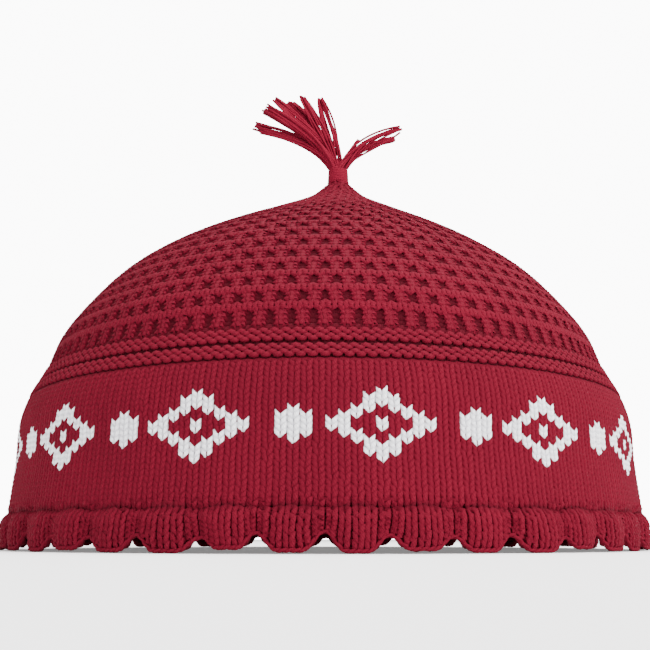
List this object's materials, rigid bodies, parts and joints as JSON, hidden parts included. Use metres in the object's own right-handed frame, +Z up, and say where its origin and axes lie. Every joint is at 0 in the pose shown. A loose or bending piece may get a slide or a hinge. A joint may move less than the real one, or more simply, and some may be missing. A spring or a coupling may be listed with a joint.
{
  "type": "kippah",
  "caption": "Knitted skullcap with a scalloped ruffled hem, a patterned band, two rolled ridges, an openwork crown and a bound tassel on top.",
  "frame": {"origin": "on the surface that the cap rests on, under the middle of the round hem", "axes": "+Z up through the crown, -Y the front, +X to the right seen from the front"},
  "size_m": [0.1921, 0.1921, 0.1553],
  "materials": {
    "crimson_yarn": "matt knitted yarn",
    "white_yarn": "matt knitted yarn",
    "crimson_thread": "soft loose thread"
  },
  "bodies": {
    "root": {"ruffled_hem": "crimson_yarn", "band": "crimson_yarn", "lower_ridge": "crimson_yarn", "upper_ridge": "crimson_yarn", "openwork_crown": "crimson_yarn", "tassel_binding": "crimson_thread", "tassel": "crimson_thread"}
  },
  "joints": []
}
